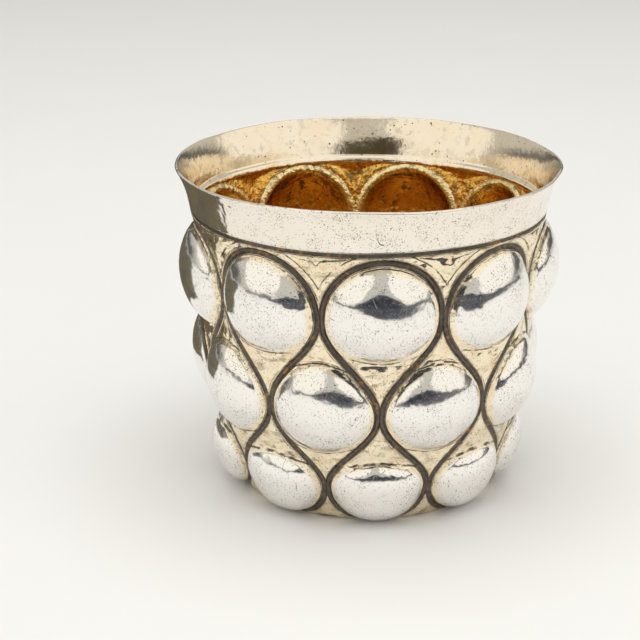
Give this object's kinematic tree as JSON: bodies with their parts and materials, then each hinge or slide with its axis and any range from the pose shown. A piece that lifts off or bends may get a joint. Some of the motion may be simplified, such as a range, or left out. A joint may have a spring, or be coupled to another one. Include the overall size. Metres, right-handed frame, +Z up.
{
  "type": "beaker",
  "caption": "Low silver-gilt drinking beaker, raised from one sheet, with a plain flared lip band above staggered rows of embossed lobes set in a lattice of chased grooves.",
  "frame": {"origin": "centre of the underside, on the surface that the beaker stands on", "axes": "+Z up along the beaker's axis and out of its mouth; a boss of the top row faces -Y"},
  "size_m": [0.088, 0.088, 0.0763],
  "materials": {
    "silver_gilt": "polished silver with worn gilding"
  },
  "bodies": {
    "root": {"beaker": "silver_gilt"}
  },
  "joints": []
}
